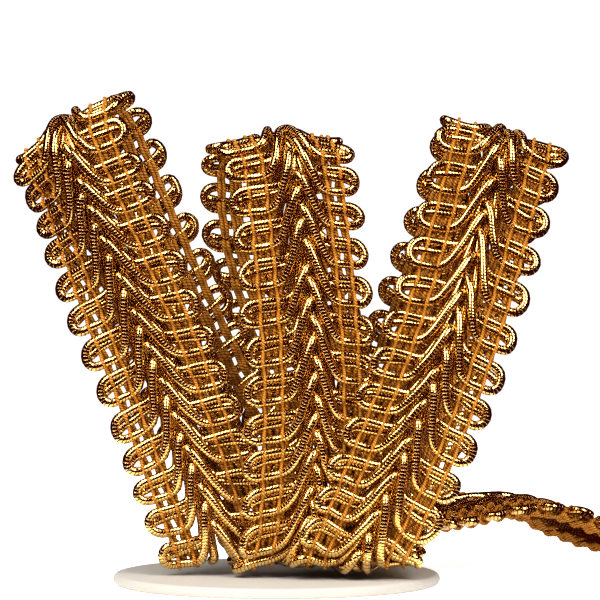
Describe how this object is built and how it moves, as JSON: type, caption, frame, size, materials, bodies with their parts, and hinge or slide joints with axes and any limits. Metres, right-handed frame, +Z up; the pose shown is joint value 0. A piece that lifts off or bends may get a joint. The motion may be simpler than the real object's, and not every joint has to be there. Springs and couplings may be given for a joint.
{
  "type": "gimp braid trim on a spool flange",
  "caption": "Strip of metallic scroll gimp braid, bunched into tall hairpin loops on a round flange with one loose tail, to trim furnishings and garments.",
  "frame": {"origin": "middle of the round flange's underside", "axes": "+Z up the loops, +X to the loose tail, +Y from the front to the back of the bundle"},
  "size_m": [0.113, 0.0772, 0.0741],
  "materials": {
    "gimp_braid": "gimp cord wrapped in gold metallised foil strip, held by amber rayon warp threads",
    "spool_flange": "moulded cream plastic with a soft sheen"
  },
  "bodies": {
    "root": {"gimp_braid": "gimp_braid", "spool_flange": "spool_flange"}
  },
  "joints": []
}
